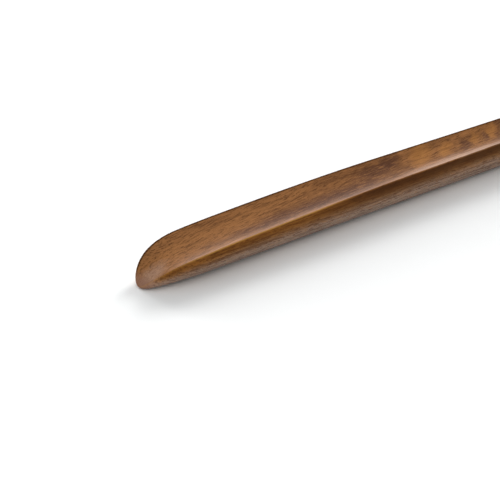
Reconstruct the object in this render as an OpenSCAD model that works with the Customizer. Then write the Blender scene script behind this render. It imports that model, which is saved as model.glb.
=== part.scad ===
// Long walnut shoehorn: one carved board with a trough along its top and an
// elliptical belly, and a two-part brass eyelet in the hanging hole.
// Frame: +X from the blade's tip to the handle, +Z up out of the trough, and the
// origin on the resting plane under the middle of the length. Millimetres.

/* [Length and width] */
// Overall length, from the tip to the handle's end
horn_length = 580; // [480:1:680]
// Full width of the blade
blade_width = 40; // [34:0.5:46]
// Width of the handle
handle_width = 32; // [28:0.5:36]
// Length of the half-elliptical nose, seen from above
nose_length = 43; // [34:1:60]
// Length of the rounded handle end, seen from above
end_length = 17; // [14:0.5:24]

/* [Height] */
// Height of the rims along the shaft and the handle
shaft_height = 24; // [21:0.5:27]
// Height of the rims where the blade is widest
blade_height = 19.8; // [17:0.1:21]
// Height of the tip's foremost point
tip_height = 1.3; // [0.8:0.1:2]
// Thickness of the tip's rounded edge above that point
tip_edge = 1.6; // [1:0.1:2.5]
// Length of the rounding at the tip's edge
tip_round = 3.8; // [2.5:0.1:6]
// Distance over which the rims climb most of the way from the tip
nose_run = 14.5; // [11:0.5:20]
// Where the rims reach their full height, from the tip
shoulder_end = 200; // [150:5:240]

/* [Trough] */
// Depth of the trough in the blade
blade_dish = 4.6; // [3:0.1:6]
// Depth of the trough in the shaft
shaft_dish = 5; // [3:0.1:6]
// Where the trough starts to fade, from the tip
trough_end = 430; // [380:5:440]
// Length over which the trough fades into the flat handle
trough_fade = 85; // [60:5:85]

/* [Belly] */
// Width of the flat keel that the horn rests on
keel_width = 6; // [4:0.5:10]
// How far the belly climbs at the handle's end
tail_lift = 9; // [6:0.5:11]
// Length over which the belly climbs
tail_length = 130; // [100:5:180]
// Length of the full rounding of the handle's end
tail_round = 8; // [5:0.5:9]
// Width of the eased edge between the trough and the belly
arris = 0.6; // [0.3:0.1:1]

/* [Hanging eyelet] */
// Distance from the hole's axis to the handle's end
hole_inset = 20; // [19:0.5:26]
// Radius of the clear bore through the eyelet
bore_r = 4; // [3:0.25:4.5]
// Wall of the eyelet's barrel
barrel_wall = 0.8; // [0.6:0.1:1]
// Radius of the flange and of the washer
flange_r = 7.5; // [6.5:0.25:8]
// Thickness of the flange and of the washer
flange_t = 0.8; // [0.6:0.1:1]
// Radius of the barrel's rolled end
roll_r = 6; // [5.5:0.25:6.4]
// Thickness of the barrel's rolled end
roll_t = 1; // [0.8:0.1:1.2]

/* [Hidden] */

walnut = [0.42, 0.25, 0.13];
brass = [0.78, 0.61, 0.30];

// The sides taper between these two distances from the tip
taper_start = 50;
taper_end = 400;

// Stations along the nose, the length between, and the rounded end
nose_steps = 18;
mid_steps = 28;
end_steps = 10;
// Points across the trough, and on each side of the belly
trough_steps = 16;
belly_steps = 12;

// Depth of the washer's flat seat, cut up into the belly
seat_depth = 1.2;
// Space left around the flange and the washer in their seats
seat_gap = 0.2;

// Height of the handle's end point, halfway between its rims and its keel
end_z = (shaft_height + tail_lift) / 2;

barrel_r = bore_r + barrel_wall;
hole_u = horn_length - hole_inset;
seat_z = keel_z(hole_u) + seat_depth;
washer_z = seat_z - flange_t;
roll_z = washer_z - roll_t;

function smooth(t) = let (c = min(max(t, 0), 1)) c * c * (3 - 2 * c);
function mix(a, b, t) = a + (b - a) * t;

// Rises from 0 to 1 as a quarter ellipse over the given length
function quarter(u, length) = sqrt(1 - pow(1 - min(max(u / length, 0), 1), 2));

// From here on, u is the distance from the tip
function side(u) =
    mix(blade_width, handle_width, smooth((u - taper_start) / (taper_end - taper_start))) / 2;
function outline(u) = quarter(u, nose_length) * quarter(horn_length - u, end_length);
function half_width(u) = side(u) * outline(u);

function climb(u) =
    (blade_height - tip_height - tip_edge) * (1 - exp(-u / nose_run))
    + (shaft_height - blade_height) * smooth(u / shoulder_end);
function rim(u) = tip_height + tip_edge * quarter(u, tip_round) + climb(u);
function keel(u) =
    tip_height * (1 - quarter(u, tip_round))
    + tail_lift * smooth((u - horn_length + tail_length) / tail_length);

// Both meet halfway up at the handle's end, which is fully rounded
function rim_z(u) = mix(end_z, rim(u), quarter(horn_length - u, tail_round));
function keel_z(u) = mix(end_z, keel(u), quarter(horn_length - u, tail_round));

function dish(u) =
    mix(blade_dish, shaft_dish, smooth(u / shoulder_end))
    * (1 - smooth((u - trough_end) / trough_fade))
    * pow(outline(u), 2);
function trough_z(u, y) = rim_z(u) - dish(u) * (1 - pow(y / half_width(u), 2));

// A ring of points around the horn: over the trough, then round the belly
function ring(u) =
    let (
        x = u - horn_length / 2,
        w = half_width(u),
        edge = min(arris, w / 4),
        in = w - edge,
        flat = keel_width / 2 * w / side(u),
        top = rim_z(u) - edge,
        low = keel_z(u)
    )
    concat(
        [for (i = [0 : trough_steps]) let (y = in - 2 * in * i / trough_steps) [x, y, trough_z(u, y)]],
        [for (i = [0 : belly_steps]) let (a = 90 * i / belly_steps)
            [x, -flat - (w - flat) * cos(a), top - (top - low) * sin(a)]],
        [for (i = [0 : belly_steps]) let (a = 90 - 90 * i / belly_steps)
            [x, flat + (w - flat) * cos(a), top - (top - low) * sin(a)]]
    );

// Stations crowd together towards both ends, where the outline turns
nose_u = [for (i = [1 : nose_steps]) nose_length * (1 - cos(90 * i / nose_steps))];
end_u = [for (i = [0 : end_steps - 1]) horn_length - end_length * (1 - sin(90 * i / end_steps))];
mid_span = horn_length - end_length - nose_length;
mid_u = [for (i = [1 : mid_steps - 1]) nose_length + mid_span * i / mid_steps];
stations = concat(nose_u, mid_u, end_u);

ring_size = trough_steps + 2 * belly_steps + 3;
ring_count = len(stations);

module loft() {
    body = [for (u = stations) each ring(u)];
    tip = ring_count * ring_size;
    apexes = [[-horn_length / 2, 0, tip_height], [horn_length / 2, 0, end_z]];
    skin = [for (k = [0 : ring_count - 2]) for (i = [0 : ring_size - 1])
        let (j = (i + 1) % ring_size, a = k * ring_size, b = a + ring_size)
        each [[a + i, b + i, a + j], [a + j, b + i, b + j]]];
    last = (ring_count - 1) * ring_size;
    caps = [for (i = [0 : ring_size - 1]) let (j = (i + 1) % ring_size)
        each [[tip, i, j], [tip + 1, last + j, last + i]]];
    polyhedron(points = concat(body, apexes), faces = concat(skin, caps));
}

module horn_body() {
    color(walnut)
    difference() {
        loft();
        translate([hole_u - horn_length / 2, 0, 0]) {
            cylinder(h = shaft_height * 2, r = barrel_r, $fn = 64);
            translate([0, 0, shaft_height - flange_t])
            cylinder(h = flange_t * 2, r = flange_r + seat_gap, $fn = 64);
            cylinder(h = seat_z, r = flange_r + seat_gap, $fn = 64);
        }
    }
}

// Tube with a flange at the top and a rolled end under the washer
module eyelet_barrel() {
    color(brass)
    translate([hole_u - horn_length / 2, 0, 0])
    rotate_extrude($fn = 64) {
        translate([bore_r, roll_z])
        square([barrel_wall, shaft_height - roll_z]);
        translate([bore_r, shaft_height - flange_t])
        square([flange_r - bore_r, flange_t]);
        translate([bore_r, roll_z])
        square([roll_r - bore_r, roll_t]);
    }
}

module eyelet_washer() {
    color(brass)
    translate([hole_u - horn_length / 2, 0, washer_z])
    difference() {
        cylinder(h = flange_t, r = flange_r, $fn = 64);
        translate([0, 0, -flange_t])
        cylinder(h = flange_t * 3, r = barrel_r, $fn = 64);
    }
}

horn_body();
eyelet_barrel();
eyelet_washer();
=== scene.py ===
"""Looks of the long walnut shoehorn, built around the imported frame.

+X runs from the blade's tip to the handle, +Z up out of the trough. Metres."""

import math
from types import SimpleNamespace

import bmesh
import bpy
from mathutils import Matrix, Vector


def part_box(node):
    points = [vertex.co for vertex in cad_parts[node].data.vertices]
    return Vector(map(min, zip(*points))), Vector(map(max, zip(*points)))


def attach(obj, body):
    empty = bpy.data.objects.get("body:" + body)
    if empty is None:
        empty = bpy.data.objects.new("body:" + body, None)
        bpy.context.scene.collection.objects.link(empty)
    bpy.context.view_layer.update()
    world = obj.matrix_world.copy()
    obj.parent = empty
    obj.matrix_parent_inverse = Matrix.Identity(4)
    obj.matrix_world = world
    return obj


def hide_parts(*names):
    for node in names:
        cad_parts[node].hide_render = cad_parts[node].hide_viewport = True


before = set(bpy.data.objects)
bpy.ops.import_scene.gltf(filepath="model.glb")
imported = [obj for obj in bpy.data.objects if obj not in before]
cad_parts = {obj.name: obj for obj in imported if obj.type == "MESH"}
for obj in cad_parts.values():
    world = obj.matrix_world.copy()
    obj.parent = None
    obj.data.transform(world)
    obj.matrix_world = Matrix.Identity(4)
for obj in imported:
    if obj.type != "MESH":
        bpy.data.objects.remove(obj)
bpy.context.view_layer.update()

MM = 0.001
horn_low, horn_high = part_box("horn_body")
barrel_low, barrel_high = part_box("eyelet_barrel")
washer_low, washer_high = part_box("eyelet_washer")

# Driving sizes of the horn, as in the CAD
LENGTH = horn_high.x - horn_low.x
TIP_X = horn_low.x
BLADE_WIDTH = horn_high.y - horn_low.y
SHAFT_HEIGHT = horn_high.z
HANDLE_WIDTH = 32 * MM
NOSE_LENGTH = 43 * MM
END_LENGTH = 17 * MM
BLADE_HEIGHT = 19.8 * MM
TIP_HEIGHT = 1.3 * MM
TIP_EDGE = 1.6 * MM
TIP_ROUND = 3.8 * MM
NOSE_RUN = 14.5 * MM
SHOULDER_END = 200 * MM
BLADE_DISH = 4.6 * MM
SHAFT_DISH = 5 * MM
TROUGH_END = 430 * MM
TROUGH_FADE = 85 * MM
KEEL_WIDTH = 6 * MM
TAIL_LIFT = 9 * MM
TAIL_LENGTH = 130 * MM
TAIL_ROUND = 8 * MM
TAPER_START = 50 * MM
TAPER_END = 400 * MM
# Height of the handle's end point, halfway between its rims and its keel
END_Z = (SHAFT_HEIGHT + TAIL_LIFT) / 2
# Radius of the eased edge along both rims
ARRIS = 0.7 * MM

# How finely the horn is meshed
NOSE_STEPS = 60
MID_STEPS = 150
END_STEPS = 36
TROUGH_STEPS = 48
ARRIS_STEPS = 6
BELLY_STEPS = 30

# The eyelet, from its CAD solids
HOLE = (barrel_low + barrel_high) / 2
FLANGE_R = (barrel_high.x - barrel_low.x) / 2
EYELET_TOP = barrel_high.z
EYELET_LOW = barrel_low.z
WASHER_TOP = washer_high.z
WASHER_LOW = washer_low.z
BORE_R = 4 * MM
BARREL_R = 4.8 * MM
ROLL_R = 6 * MM
FLANGE_T = WASHER_TOP - WASHER_LOW
# How far the flange's dome falls to its edge, and the radius of its mouth
FLANGE_DROP = 0.45 * MM
MOUTH_R = 1.2 * MM
# Room around the flange and the washer in their seats, and how much each seat's edge is eased
SEAT_GAP = 0.2 * MM
SEAT_EASE = 0.25 * MM
LATHE_STEPS = 96

# Edges sharper than these stay sharp in the shading, in degrees
WOOD_SHARP = 40
BRASS_SHARP = 50
# How far the rim band, which carries wear and painted light, reaches from each rim
RIM_REACH = 2.4 * MM
# How close to the very ends the section is still worked out
END_MARGIN = 0.001 * MM


# ---------------------------------------------------------------- horn shape

def clamp(t):
    return min(max(t, 0.0), 1.0)


def smooth(t):
    c = clamp(t)
    return c * c * (3 - 2 * c)


def mix(a, b, t):
    return a + (b - a) * t


def quarter(u, length):
    """Rises from 0 to 1 as a quarter ellipse over the given length."""
    return math.sqrt(max(0.0, 1 - (1 - clamp(u / length)) ** 2))


# From here on, u is the distance from the tip
def side(u):
    taper = smooth((u - TAPER_START) / (TAPER_END - TAPER_START))
    return mix(BLADE_WIDTH, HANDLE_WIDTH, taper) / 2


def outline(u):
    return quarter(u, NOSE_LENGTH) * quarter(LENGTH - u, END_LENGTH)


def rim_z(u):
    climb = (BLADE_HEIGHT - TIP_HEIGHT - TIP_EDGE) * (1 - math.exp(-u / NOSE_RUN))
    climb += (SHAFT_HEIGHT - BLADE_HEIGHT) * smooth(u / SHOULDER_END)
    rim = TIP_HEIGHT + TIP_EDGE * quarter(u, TIP_ROUND) + climb
    return mix(END_Z, rim, quarter(LENGTH - u, TAIL_ROUND))


def keel_z(u):
    keel = TIP_HEIGHT * (1 - quarter(u, TIP_ROUND))
    keel += TAIL_LIFT * smooth((u - LENGTH + TAIL_LENGTH) / TAIL_LENGTH)
    return mix(END_Z, keel, quarter(LENGTH - u, TAIL_ROUND))


def dish(u):
    depth = mix(BLADE_DISH, SHAFT_DISH, smooth(u / SHOULDER_END))
    return depth * (1 - smooth((u - TROUGH_END) / TROUGH_FADE)) * outline(u) ** 2


def half_ring(u):
    """Right half of the section at u, from the trough's middle to the keel: (y, z) pairs."""
    w = side(u) * outline(u)
    top, low, deep = rim_z(u), keel_z(u), dish(u)
    slope = math.atan2(2 * deep, w)
    r = min(ARRIS, w / 5, (top - low) / 5)
    # The eased edge: an arc that leaves the trough along its slope and ends upright
    centre_y = w - r
    centre_z = top - r * math.tan(slope) - r / math.cos(slope)
    inner = centre_y - r * math.sin(slope)
    points = []
    for i in range(TROUGH_STEPS + 1):
        y = inner * i / TROUGH_STEPS
        points.append((y, top - deep * (1 - (y / w) ** 2)))
    for i in range(1, ARRIS_STEPS + 1):
        a = math.pi / 2 + slope - (math.pi / 2 + slope) * i / ARRIS_STEPS
        points.append((centre_y + r * math.cos(a), centre_z + r * math.sin(a)))
    flat = KEEL_WIDTH / 2 * w / side(u)
    for i in range(1, BELLY_STEPS + 1):
        a = math.pi / 2 * i / BELLY_STEPS
        y = flat + (w - flat) * math.cos(a)
        points.append((y, centre_z - (centre_z - low) * math.sin(a)))
    points.append((0, low))
    return points


def stations():
    """Distances from the tip, crowded together where the outline turns."""
    us = [NOSE_LENGTH * (1 - math.cos(math.pi / 2 * i / NOSE_STEPS)) for i in range(1, NOSE_STEPS)]
    span = LENGTH - NOSE_LENGTH - END_LENGTH
    us += [NOSE_LENGTH + span * i / MID_STEPS for i in range(MID_STEPS)]
    us += [LENGTH - END_LENGTH * (1 - math.sin(math.pi / 2 * i / END_STEPS)) for i in range(END_STEPS)]
    return us


def loft_horn(bm):
    """The whole carved board, before the hole is drilled."""
    rings = []
    for u in stations():
        half = half_ring(u)
        both = half + [(-y, z) for y, z in half[-2:0:-1]]
        rings.append([bm.verts.new((TIP_X + u, y, z)) for y, z in both])
    count = len(rings[0])
    for a, b in zip(rings, rings[1:]):
        for i in range(count):
            j = (i + 1) % count
            bm.faces.new((a[i], b[i], b[j], a[j]))
    tip = bm.verts.new((TIP_X, 0, TIP_HEIGHT))
    end = bm.verts.new((TIP_X + LENGTH, 0, END_Z))
    for i in range(count):
        j = (i + 1) % count
        bm.faces.new((tip, rings[0][i], rings[0][j]))
        bm.faces.new((end, rings[-1][j], rings[-1][i]))


def lathe(bm, profile, closed):
    """Turns (radius, z) pairs about the hole's axis. A point at radius 0 is an apex."""
    rings = []
    for r, z in profile:
        if r == 0:
            rings.append([bm.verts.new((HOLE.x, HOLE.y, z))])
            continue
        turns = [2 * math.pi * k / LATHE_STEPS for k in range(LATHE_STEPS)]
        rings.append([bm.verts.new((HOLE.x + r * math.cos(t), HOLE.y + r * math.sin(t), z)) for t in turns])
    pairs = list(zip(rings, rings[1:]))
    if closed:
        pairs.append((rings[-1], rings[0]))
    for a, b in pairs:
        for i in range(LATHE_STEPS):
            j = (i + 1) % LATHE_STEPS
            corners = [a[i % len(a)], a[j % len(a)], b[j % len(b)], b[i % len(b)]]
            bm.faces.new(list(dict.fromkeys(corners)))


def mesh_object(name, build, *args):
    """A smooth-shaded object from a function that fills a bmesh."""
    bm = bmesh.new()
    build(bm, *args)
    bmesh.ops.recalc_face_normals(bm, faces=bm.faces)
    for face in bm.faces:
        face.smooth = True
    mesh = bpy.data.meshes.new(name)
    bm.to_mesh(mesh)
    bm.free()
    piece = bpy.data.objects.new(name, mesh)
    bpy.context.scene.collection.objects.link(piece)
    return piece


def drill(piece):
    """Cuts the eyelet's hole and its two flat seats through the handle."""
    seat_r = FLANGE_R + SEAT_GAP
    over = SHAFT_HEIGHT / 2
    profile = [
        (0, -over), (seat_r + SEAT_EASE, -over), (seat_r, WASHER_TOP - FLANGE_T), (seat_r, WASHER_TOP),
        (BARREL_R, WASHER_TOP), (BARREL_R, EYELET_TOP - FLANGE_T), (seat_r, EYELET_TOP - FLANGE_T),
        (seat_r, EYELET_TOP - SEAT_EASE), (seat_r + SEAT_EASE, EYELET_TOP),
        (seat_r + SEAT_EASE, EYELET_TOP + over), (0, EYELET_TOP + over),
    ]
    cutter = mesh_object("cutter", lathe, profile, False)
    cut = piece.modifiers.new("hole", "BOOLEAN")
    cut.operation, cut.solver, cut.object = "DIFFERENCE", "EXACT", cutter
    bpy.context.view_layer.update()
    seen = piece.evaluated_get(bpy.context.evaluated_depsgraph_get())
    drilled = bpy.data.meshes.new_from_object(seen)
    piece.modifiers.clear()
    piece.data = drilled
    piece.data.name = piece.name
    bpy.data.objects.remove(cutter)


def sharpen(piece, angle):
    """Keeps the shading smooth, except where faces meet at more than this angle."""
    mesh = piece.data
    mesh.shade_smooth()
    mesh.set_sharp_from_angle(angle=math.radians(angle))


def mark_surface(piece):
    """Two attributes for the wood: "rim_wear_and_light" is 1 along the rims, for their wear and their
    painted highlight and shade, and "below" runs from 0 in the trough to 1 at the keel, down the outside."""
    # Keeps the trough's own skin from counting as outside
    margin = 0.05 * MM
    rim_wear_and_light = piece.data.attributes.new("rim_wear_and_light", "FLOAT", "POINT")
    below = piece.data.attributes.new("below", "FLOAT", "POINT")
    for v, rim_mark, low in zip(piece.data.vertices, rim_wear_and_light.data, below.data):
        # Just inside both ends, where the section has some width
        u = min(max(v.co.x - TIP_X, END_MARGIN), LENGTH - END_MARGIN)
        w, top = side(u) * outline(u), rim_z(u)
        gap = math.hypot(abs(v.co.y) - w, v.co.z - top)
        rim_mark.value = 1 - smooth(gap / RIM_REACH)
        trough = top - dish(u) * (1 - (v.co.y / w) ** 2)
        if v.co.z < trough - margin:
            low.value = clamp((top - v.co.z) / (top - keel_z(u)))


def make_horn():
    piece = mesh_object("walnut_horn", loft_horn)
    drill(piece)
    sharpen(piece, WOOD_SHARP)
    mark_surface(piece)
    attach(piece, "root")
    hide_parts("horn_body")
    return piece


def arc(centre, r, start, stop, steps=8):
    """Points of an arc in the (radius, z) plane, in degrees."""
    turns = [math.radians(start + (stop - start) * i / steps) for i in range(steps + 1)]
    return [(centre[0] + r * math.cos(t), centre[1] + r * math.sin(t)) for t in turns]


def dome(inner, outer, top, drop, steps=12):
    """Quarter ellipse that falls from the inner radius to the outer one, as (radius, z) pairs."""
    turns = [math.pi / 2 * i / steps for i in range(1, steps + 1)]
    return [(inner + (outer - inner) * math.sin(t), top - drop * (1 - math.cos(t))) for t in turns]


def make_barrel():
    """Tube with a domed flange above and a rolled end below."""
    crown = BORE_R + MOUTH_R
    roll = (WASHER_LOW - EYELET_LOW) / 2
    profile = arc((crown, EYELET_TOP - MOUTH_R), MOUTH_R, 180, 90)
    profile += dome(crown, FLANGE_R, EYELET_TOP, FLANGE_DROP)
    profile += [(FLANGE_R - 0.05 * MM, EYELET_TOP - FLANGE_T), (BARREL_R, EYELET_TOP - FLANGE_T)]
    profile += [(BARREL_R, WASHER_LOW)]
    profile += arc((ROLL_R - roll, EYELET_LOW + roll), roll, 90, -90)
    profile += arc((BORE_R + roll, EYELET_LOW + roll), roll, -90, -180)
    piece = mesh_object("brass_eyelet_barrel", lathe, profile, True)
    sharpen(piece, BRASS_SHARP)
    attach(piece, "root")
    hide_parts("eyelet_barrel")
    return piece


def make_washer():
    edge = FLANGE_T * 0.4
    profile = [(BARREL_R, WASHER_TOP), (BARREL_R, WASHER_LOW)]
    profile += arc((FLANGE_R - edge, WASHER_LOW + edge), edge, -90, 0)
    profile += arc((FLANGE_R - edge, WASHER_TOP - edge), edge, 0, 90)
    piece = mesh_object("brass_eyelet_washer", lathe, profile, True)
    sharpen(piece, BRASS_SHARP)
    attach(piece, "root")
    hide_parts("eyelet_washer")
    return piece


# ---------------------------------------------------------------- materials

class Nodes:
    """Short calls for the nodes of one tree."""

    def __init__(self, tree):
        self.tree = tree

    def node(self, kind, values=(), **settings):
        made = self.tree.nodes.new("ShaderNode" + kind)
        for key, value in settings.items():
            setattr(made, key, value)
        for key, value in dict(values).items():
            self.put(made.inputs[key], value)
        return made

    def put(self, socket, value):
        """Links a socket's value, or sets a plain one."""
        if isinstance(value, bpy.types.NodeSocket):
            self.tree.links.new(value, socket)
        else:
            socket.default_value = value

    def calc(self, operation, *values):
        return self.node("Math", enumerate(values), operation=operation).outputs[0]


class Shader(Nodes):
    """A new material, with short calls for the patterns that it needs."""

    def __init__(self, name):
        self.material = bpy.data.materials.new(name)
        self.material.use_nodes = True
        super().__init__(self.material.node_tree)
        self.bsdf = self.tree.nodes["Principled BSDF"]

    def shade(self, **values):
        """Sets the shader's own sockets, whose names have spaces for the underscores here."""
        for name, value in values.items():
            self.put(self.bsdf.inputs[name.replace("_", " ")], value)

    def place(self):
        """The point in the part's frame, in millimetres."""
        point = self.node("TexCoord").outputs["Object"]
        return self.node("VectorMath", {0: point, 3: 1 / MM}, operation="SCALE").outputs[0]

    def stretch(self, point, x, y, z):
        return self.node("VectorMath", {0: point, 1: (x, y, z)}, operation="MULTIPLY").outputs[0]

    def shift(self, point, offset):
        return self.node("VectorMath", {0: point, 1: offset}, operation="ADD").outputs[0]

    def length(self, vector):
        return self.node("VectorMath", {0: vector}, operation="LENGTH").outputs["Value"]

    def turn(self, point, degrees):
        """The same point in axes turned about Z."""
        values = {"Vector": point, "Rotation": (0, 0, math.radians(degrees))}
        return self.node("Mapping", values).outputs[0]

    def attribute(self, name):
        return self.node("Attribute", attribute_name=name).outputs["Fac"]

    def noise(self, point, detail=2.0, rough=0.5):
        values = {"Vector": point, "Scale": 1.0, "Detail": detail, "Roughness": rough}
        return self.node("TexNoise", values).outputs["Fac"]

    def streaks(self, point, waves, detail, rough):
        """Noise with its own number of waves per millimetre along the grain and across it."""
        along, across = waves
        return self.noise(self.stretch(point, along, across, across), detail, rough)

    def jitter(self, point, source, waves, detail, reach):
        """Moves a point about, by noise that is read at the source point."""
        values = {"Vector": self.stretch(source, *waves), "Scale": 1.0, "Detail": detail}
        drift = self.shift(self.node("TexNoise", values).outputs["Color"], (-0.5, -0.5, -0.5))
        return self.shift(point, self.stretch(drift, *reach))

    def span(self, value, low, high, to_low=0.0, to_high=1.0):
        """Maps low..high to to_low..to_high, eased and clamped."""
        values = {"Value": value, "From Min": low, "From Max": high, "To Min": to_low, "To Max": to_high}
        return self.node("MapRange", values, interpolation_type="SMOOTHSTEP").outputs[0]

    def blend(self, factor, a, b, kind="MIX"):
        made = self.node("Mix", data_type="RGBA", blend_type=kind)
        colours = [s for s in made.inputs if s.type == "RGBA"]
        self.put(made.inputs[0], factor)
        for socket, value in zip(colours, (a, b)):
            self.put(socket, value if isinstance(value, bpy.types.NodeSocket) else (*value, 1.0))
        return next(s for s in made.outputs if s.type == "RGBA")

    def ovals(self, point, patches, strength, under, over):
        """Blends a colour in over soft-edged ovals."""
        for middle, half in patches:
            away = self.shift(point, tuple(-m for m in middle))
            gap = self.length(self.stretch(away, *(1 / h for h in half)))
            under = self.blend(self.span(gap, 1.0, 0.25, 0.0, strength), under, over)
        return under

    def bump(self, height, depth, strength):
        values = {"Height": height, "Distance": depth, "Strength": strength}
        return self.node("Bump", values).outputs[0]


WALNUT = (0.235, 0.101, 0.038)
WALNUT_PALE = (0.365, 0.160, 0.056)
WALNUT_DEEP = (0.088, 0.036, 0.015)
WALNUT_PURPLE = (0.110, 0.048, 0.028)
WALNUT_AMBER = (0.43, 0.185, 0.050)
# Darkest brown, for the pores and also for painted shade under the near rim and inside the far rim
WALNUT_PORE_AND_SHADE = (0.058, 0.021, 0.008)
# Golden painted highlight for the near rim's edge
WALNUT_RIM_HIGHLIGHT = (0.48, 0.25, 0.06)
WALNUT_END = (0.26, 0.135, 0.090)
# Paler, greyer brown for painted sheen
WALNUT_PAINTED_SHEEN = (0.46, 0.30, 0.22)
# The outside is greyer towards the keel: partly drier wood, partly a painted reflection of the white floor
# on the belly
WALNUT_DRY_AND_REFLECTION = (0.39, 0.29, 0.225)
# Painted shade: what is left of each colour high on the near side's outside, darker and more golden
NEAR_SHADE_TINT = (1.0, 0.88, 0.5)

# The wood's patterns, as waves per millimetre along the grain and across it
CLOUD = (0.025, 0.12)
FLECK = (0.12, 1.05)
LINE = (0.012, 0.55)
FIBRE = (0.10, 3.0)
PORE = (0.3, 4.2)
FINE = (2.0, 9.0)

# How the grain wanders as it runs along the board: waves per millimetre, and reach in millimetres
WANDER_WAVES = (0.006, 0.03, 0.03)
WANDER_REACH = (4.0, 16.0, 16.0)
# Degrees from the board's length to its flecks, fibres and pores
GRAIN_SLANT = 7
# The growth rings lie around a pith below the board and to one side, this many millimetres apart
PITH = (0.0, 13.0, -44.0)
RING_GAP = 2.9

# Figure in the wood, as ovals of (middle, half size) in mm from the tip
PALE_PATCHES = (
    ((14, 2, 8), (30, 20, 16)), ((48, 5, 12), (80, 18, 16)), ((98, 12, 20), (64, 9, 12)),
)
PURPLE_PATCHES = (
    ((115, -6.5, 19), (95, 10.5, 10)), ((168, -4, 19), (68, 15, 13)), ((190, 9, 19), (26, 9, 10)),
    ((204, 10, 22), (13, 12, 12)), ((275, 4, 20), (7, 9, 12)), ((294, 5, 20), (5, 10, 12)),
)
AMBER_PATCHES = (
    ((233, 7, 20), (14, 15, 12)), ((256, 6, 20), (8, 11, 12)), ((283, 7, 20), (6, 9, 12)),
    ((301, 9, 20), (8, 9, 12)),
)
# Painted sheen: paler, greyer ovals on the trough's near side and on the tip, where the gloss shows
PAINTED_SHEEN_PATCHES = (((272, -10, 23), (80, 11, 9)), ((10, -4, 6), (32, 13, 10)))
# How much the figure leans across the grain, and how ragged its edges are
LEAN = 0.85
RAGGED_WAVES = (0.09, 0.16, 0.16)
RAGGED_REACH = (16, 12, 8)
# Beyond the ovals, bands of figure run on to the handle's end. They fade in between these distances.
BANDS_START, BANDS_FULL = 270, 330
BAND_WAVES = (0.045, 0.012, 0.02)


def wood_fields(s):
    """The distances and patterns that the walnut is made of, by name."""
    point = s.shift(s.place(), (-TIP_X / MM, 0, 0))
    axes = s.node("SeparateXYZ", {0: point}).outputs
    grain = s.jitter(point, point, WANDER_WAVES, 2.0, WANDER_REACH)
    slanted = s.turn(grain, -GRAIN_SLANT)
    from_pith = s.stretch(s.shift(grain, tuple(-p for p in PITH)), 0.0, 1.0, 1.0)
    ring = s.calc("FRACT", s.calc("DIVIDE", s.length(from_pith), RING_GAP))
    lean = s.node("CombineXYZ", {0: s.calc("MULTIPLY", axes["Y"], -LEAN)}).outputs[0]
    below = s.attribute("below")
    return SimpleNamespace(
        along=axes["X"],
        across=axes["Y"],
        below=below,
        outside=s.span(below, 0.0, 0.06),
        rim_wear_and_light=s.attribute("rim_wear_and_light"),
        figured=s.jitter(s.shift(point, lean), point, RAGGED_WAVES, 3.0, RAGGED_REACH),
        late=s.calc("MULTIPLY", s.span(ring, 0.25, 0.9), s.span(ring, 1.0, 0.93)),
        cloud=s.streaks(grain, CLOUD, 3.0, 0.55),
        fleck=s.streaks(slanted, FLECK, 4.0, 0.7),
        line=s.streaks(grain, LINE, 3.0, 0.6),
        fibre=s.streaks(slanted, FIBRE, 2.0, 0.6),
        pore=s.span(s.streaks(slanted, PORE, 1.0, 0.5), 0.63, 0.70),
        fine=s.streaks(point, FINE, 2.0, 0.6),
    )


def add_bands(s, wood, colour):
    """Dark and amber bands across the grain, on the handle's half."""
    band = s.noise(s.stretch(wood.figured, *BAND_WAVES))
    shown = s.span(wood.along, BANDS_START, BANDS_FULL)
    dark = s.calc("MULTIPLY", s.span(band, 0.5, 0.36), s.calc("MULTIPLY", shown, 0.6))
    pale = s.calc("MULTIPLY", s.span(band, 0.54, 0.66), s.calc("MULTIPLY", shown, 0.45))
    return s.blend(pale, s.blend(dark, colour, WALNUT_PURPLE), WALNUT_AMBER)


def add_near_side_shade(s, wood, colour):
    """Painted shade high on the near side's outside: a darker, more golden tint, and a dark streak under
    the near rim. The streak deepens towards the shaft.
    """
    near = s.calc("MULTIPLY", s.span(wood.across, -8.0, -13.0), wood.outside)
    high = s.calc("MULTIPLY", s.span(wood.below, 0.55, 0.1), near)
    streak = s.calc("MULTIPLY", high, s.span(wood.along, 100, 190, 0.35, 0.9))
    return s.blend(streak, s.blend(high, colour, NEAR_SHADE_TINT, "MULTIPLY"), WALNUT_PORE_AND_SHADE)


def add_rims(s, wood, colour):
    """Painted light on the rims: a golden painted highlight along the near rim on the blade, and a dark
    line of painted shade inside the far rim.
    """
    # Painted highlight: the near rim's rounded edge catching the light, golden along the blade
    near_rim_highlight = s.calc("MULTIPLY", s.span(wood.rim_wear_and_light, 0.55, 0.97), s.span(wood.along, 165, 120, 0.0, 0.9))
    near_rim_highlight = s.calc("MULTIPLY", near_rim_highlight, s.span(wood.across, 2.0, -4.0))
    near_rim_highlight = s.calc("MULTIPLY", near_rim_highlight, s.span(wood.along, 8.0, 40.0, 0.2, 1.0))
    # Painted shade: a dark line just inside the far rim, on the trough's side
    dark = s.calc("MULTIPLY", s.span(wood.rim_wear_and_light, 0.0, 0.45), s.span(wood.across, 4.0, 10.0, 0.0, 0.9))
    dark = s.calc("MULTIPLY", dark, s.calc("SUBTRACT", 1.0, wood.outside))
    return s.blend(dark, s.blend(near_rim_highlight, colour, WALNUT_RIM_HIGHLIGHT), WALNUT_PORE_AND_SHADE)


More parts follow.
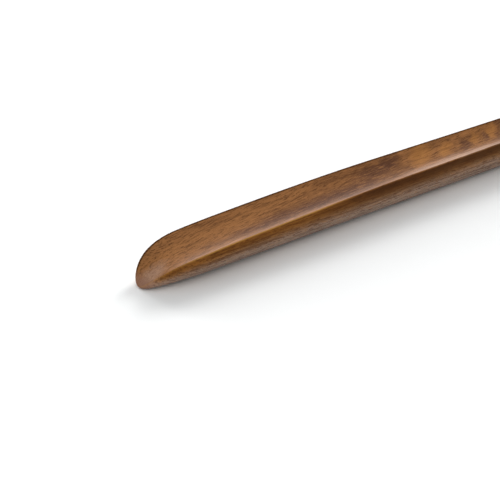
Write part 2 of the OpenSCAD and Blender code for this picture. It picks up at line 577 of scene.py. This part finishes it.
def wood_colour(s, wood):
    """From the plain wood up: rings, figure, the greyer belly with its painted floor reflection, flecks,
    painted sheen, lines, painted shade under the near rim and pores.
    """
    colour = s.blend(s.span(wood.cloud, 0.35, 0.7), WALNUT, WALNUT_PALE)
    colour = s.blend(s.calc("MULTIPLY", wood.late, 0.22), colour, WALNUT_DEEP)
    colour = add_bands(s, wood, colour)
    colour = s.ovals(wood.figured, PALE_PATCHES, 0.85, colour, WALNUT_PALE)
    colour = s.ovals(wood.figured, PURPLE_PATCHES, 0.8, colour, WALNUT_PURPLE)
    # Greyer towards the keel: partly drier wood, partly a painted reflection of the floor
    colour = s.blend(s.span(wood.below, 0.1, 0.75, 0.0, 0.94), colour, WALNUT_DRY_AND_REFLECTION)

    colour = s.blend(s.span(wood.fleck, 0.52, 0.60, 0.0, 0.7), colour, WALNUT_DEEP)
    colour = s.blend(s.span(wood.fleck, 0.47, 0.39, 0.0, 0.6), colour, WALNUT_PALE)
    colour = s.ovals(wood.figured, AMBER_PATCHES, 0.62, colour, WALNUT_AMBER)
    # Painted sheen on the trough's near side and the tip
    colour = s.ovals(wood.figured, PAINTED_SHEEN_PATCHES, 0.6, colour, WALNUT_PAINTED_SHEEN)
    colour = s.blend(s.span(wood.fibre, 0.4, 0.75, 0.0, 0.25), colour, WALNUT_DEEP)
    lines = s.calc("MULTIPLY", s.span(wood.line, 0.48, 0.64), s.span(wood.outside, 0.0, 1.0, 0.3, 0.5))
    colour = s.blend(lines, colour, WALNUT_DEEP)
    # Painted shade high on the near side, under the near rim
    colour = add_near_side_shade(s, wood, colour)

    # End grain shows greyer on the rounded front edge
    front = s.calc("MULTIPLY", s.span(wood.along, 6.0, 1.5), s.span(wood.fibre, 0.35, 0.6, 0.6, 0.9))
    colour = s.blend(front, colour, WALNUT_END)
    colour = s.blend(s.calc("MULTIPLY", wood.pore, 0.6), colour, WALNUT_PORE_AND_SHADE)
    return add_rims(s, wood, colour)


def wood_roughness(s, wood):
    """The shaft is polished by the hand, the rims more so, and the blade and the pores stay duller."""
    rough = s.calc("ADD", s.span(wood.along, 60, 190, 0.2, 0.0), s.span(wood.cloud, 0.3, 0.7, 0.34, 0.42))
    rough = s.calc("ADD", rough, s.calc("MULTIPLY", wood.pore, 0.15))
    return s.calc("SUBTRACT", rough, s.calc("MULTIPLY", wood.rim_wear_and_light, 0.06))


def wood_bump(s, wood):
    """Fibres stand up a little, and pores are cut in."""
    height = s.calc("ADD", s.calc("MULTIPLY", wood.fibre, 0.35), s.calc("MULTIPLY", wood.fine, 0.15))
    return s.bump(s.calc("SUBTRACT", height, wood.pore), 0.04 * MM, 0.5)


def walnut():
    s = Shader("oiled_walnut")
    wood = wood_fields(s)
    s.shade(Base_Color=wood_colour(s, wood), Roughness=wood_roughness(s, wood), Normal=wood_bump(s, wood))
    # The oil's soft gloss is all sheen, so the glows behind don't wash the top out in low views
    s.shade(IOR=1.5, Specular_IOR_Level=0.0, Sheen_Weight=0.22, Sheen_Roughness=0.3)
    return s.material


BRASS = (0.80, 0.56, 0.25)
BRASS_DULL = (0.62, 0.40, 0.17)
PAPER = (0.92, 0.93, 0.93)
PAPER_PALE = (0.94, 0.95, 0.95)


def brass():
    s = Shader("worn_brass")
    point = s.place()
    patch = s.noise(s.stretch(point, 0.35, 0.35, 0.35), 4.0, 0.6)
    scratch = s.noise(s.stretch(point, 1.2, 9.0, 9.0), 3.0, 0.7)
    rough = s.calc("ADD", s.span(patch, 0.3, 0.7, 0.2, 0.34), s.span(scratch, 0.5, 0.8, 0.0, 0.12))
    s.shade(Base_Color=s.blend(s.span(patch, 0.35, 0.7), BRASS, BRASS_DULL), Metallic=1.0)
    s.shade(Roughness=rough, Normal=s.bump(scratch, 0.01 * MM, 0.4))
    return s.material


def paper():
    s = Shader("white_paper")
    grain = s.noise(s.stretch(s.place(), 0.02, 0.02, 0.02))
    s.shade(Base_Color=s.blend(grain, PAPER, PAPER_PALE), Roughness=0.9, Specular_IOR_Level=0.0)
    return s.material


def dress(piece, material):
    piece.data.materials.clear()
    piece.data.materials.append(material)


# ------------------------------------------------------------ floor, light, camera

VIEW_AZIMUTH = -39.84
VIEW_ELEVATION = 25.0
VIEW_DISTANCE = 1.2
LENS_MM = 145.2
SENSOR_MM = 36.0
# Where the camera looks, from the blade's tip on the floor
LOOK = Vector((57.0, -34.8, 21.0)) * MM

# The floor is a hair below the resting plane, so the two never lie in one plane
FLOOR_HALF = 6.0
FLOOR_Z = -0.02 * MM

# The room's soft light: azimuth and elevation of each glow's middle, how bright, how tight
BACK_RIGHT_GLOW = (VIEW_AZIMUTH + 180 - 29, 17.0, 49.0, 65.0)
BACK_LEFT_GLOW = (VIEW_AZIMUTH + 180 + 30, 9, 30.0, 60.0)
FRONT_GLOW = (VIEW_AZIMUTH - 10, 35, 1.0, 4.0)
# Light from overhead, light from the pale walls, and how fast the walls' light fades upwards
OVERHEAD = 0.52
WALLS = 0.9
WALLS_FADE = 8.0


def bearing(azimuth, elevation):
    """The unit vector towards a viewer or a light there. Azimuth 0 looks along +Y."""
    a, e = math.radians(azimuth), math.radians(elevation)
    return Vector((math.sin(a) * math.cos(e), -math.cos(a) * math.cos(e), math.sin(e)))


def make_camera():
    data = bpy.data.cameras.new("camera")
    data.lens = LENS_MM
    data.sensor_width = SENSOR_MM
    camera = bpy.data.objects.new("camera", data)
    bpy.context.scene.collection.objects.link(camera)
    back = bearing(VIEW_AZIMUTH, VIEW_ELEVATION)
    camera.location = Vector((TIP_X, 0, 0)) + LOOK + back * VIEW_DISTANCE
    camera.rotation_mode = "QUATERNION"
    camera.rotation_quaternion = (-back).to_track_quat("-Z", "Y")
    bpy.context.scene.camera = camera


def fill_floor(bm):
    corners = [(-1, -1), (1, -1), (1, 1), (-1, 1)]
    bm.faces.new([bm.verts.new((x * FLOOR_HALF, y * FLOOR_HALF, FLOOR_Z)) for x, y in corners])


def make_floor():
    floor = mesh_object("floor", fill_floor)
    dress(floor, paper())


def make_world():
    """A pale room lit from low behind the shoehorn, and softly filled from the front."""
    world = bpy.data.worlds.new("studio")
    world.use_nodes = True
    nodes = Nodes(world.node_tree)
    towards = nodes.node("TexCoord").outputs["Generated"]
    up = nodes.calc("MAXIMUM", nodes.node("SeparateXYZ", {0: towards}).outputs["Z"], 0.0)
    walls = nodes.calc("EXPONENT", nodes.calc("MULTIPLY", up, -WALLS_FADE))
    total = nodes.calc("ADD", nodes.calc("MULTIPLY", up, OVERHEAD), nodes.calc("MULTIPLY", walls, WALLS))
    for azimuth, elevation, power, focus in (BACK_RIGHT_GLOW, BACK_LEFT_GLOW, FRONT_GLOW):
        aims = {0: towards, 1: bearing(azimuth, elevation)}
        near = nodes.node("VectorMath", aims, operation="DOT_PRODUCT").outputs["Value"]
        fall = nodes.calc("MULTIPLY", nodes.calc("SUBTRACT", near, 1.0), focus)
        total = nodes.calc("ADD", total, nodes.calc("MULTIPLY", nodes.calc("EXPONENT", fall), power))
    background = nodes.tree.nodes["Background"]
    nodes.put(background.inputs["Strength"], total)
    nodes.put(background.inputs["Color"], (1, 1, 1, 1))
    bpy.context.scene.world = world


make_camera()
make_world()
make_floor()
bpy.context.scene.view_settings.view_transform = "Standard"

wood_material = walnut()
brass_material = brass()
dress(make_horn(), wood_material)
dress(make_barrel(), brass_material)
dress(make_washer(), brass_material)

bpy.context.view_layer.update()
